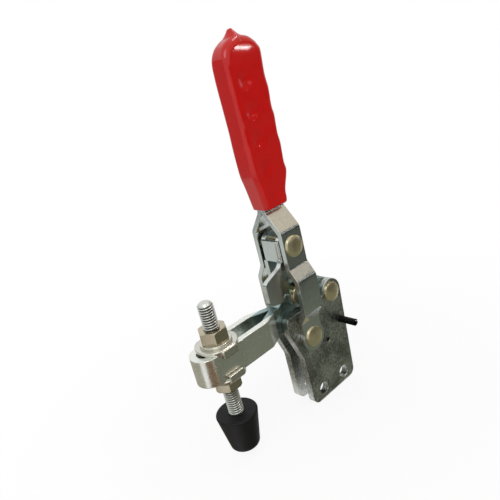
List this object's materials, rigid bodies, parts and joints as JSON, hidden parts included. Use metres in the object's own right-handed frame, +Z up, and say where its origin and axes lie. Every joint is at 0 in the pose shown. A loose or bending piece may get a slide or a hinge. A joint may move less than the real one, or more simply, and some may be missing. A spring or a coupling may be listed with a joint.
{
  "type": "toggle clamp",
  "caption": "Vertical-handle toggle clamp with a slotted U-bar arm, straight side-plate base, dipped vinyl grip and adjustable rubber-tipped spindle.",
  "frame": {"origin": "midway between the two mounting holes, on the mid-plane of the clamp", "axes": "+X forward along the closed arm, +Y to the left side across the plates, +Z up along the closed handle"},
  "size_m": [0.0755, 0.0257, 0.1533],
  "materials": {
    "zinc_steel": "bright zinc plate on pressed sheet, slightly cloudy",
    "rivet": "yellowish zinc plate on domed rivet heads",
    "washer": "bright zinc plate on folded washers",
    "fastener": "bright zinc plate on threads and hexagons",
    "black_pin": "black oxide",
    "rubber": "matte black moulded rubber",
    "grip": "glossy red dipped vinyl"
  },
  "bodies": {
    "base": {"base_plate_left": "zinc_steel", "base_plate_right": "zinc_steel", "base_spacer": "zinc_steel", "arm_pivot_rivet": "rivet", "handle_pivot_rivet": "rivet", "stop_pin": "black_pin"},
    "arm": {"clamp_arm": "zinc_steel", "link_arm_rivet": "rivet"},
    "spindle_carriage": {"flanged_washer_upper": "washer", "flanged_washer_lower": "washer", "plain_washer": "fastener", "nut_upper": "fastener", "nut_lower": "fastener"},
    "spindle_body": {"spindle": "fastener", "rubber_tip": "rubber"},
    "handle": {"handle_strap_left": "zinc_steel", "handle_strap_right": "zinc_steel", "grip": "grip", "link_handle_rivet": "rivet"},
    "link_body": {"link": "zinc_steel"}
  },
  "joints": [
    {"name": "handle_pivot", "type": "hinge", "parent": "base", "child": "handle", "pos_m": [0.008, 0, 0.027], "axis": [0, -1, 0], "range_deg": [0, 70]},
    {"name": "arm_pivot", "type": "hinge", "parent": "base", "child": "arm", "pos_m": [-0.00925, 0, 0.03875], "axis": [0, -1, 0], "range_deg": [0, 85.2]},
    {"name": "link_pivot", "type": "hinge", "parent": "handle", "child": "link_body", "pos_m": [0.008, 0, 0.0675], "axis": [0, -1, 0], "range_deg": [0, 66.6]},
    {"name": "spindle_reach", "type": "slide", "parent": "arm", "child": "spindle_carriage", "axis": [1, 0, 0], "range_m": [-0.014, 0.005]},
    {"name": "spindle_height", "type": "slide", "parent": "spindle_carriage", "child": "spindle_body", "axis": [0, 0, 1], "range_m": [-0.009, 0.011]}
  ],
  "couplings": [
    {"joint": "arm_pivot", "follows": "handle_pivot", "ratio": 1.2168},
    {"joint": "link_pivot", "follows": "handle_pivot", "ratio": 0.95047}
  ]
}
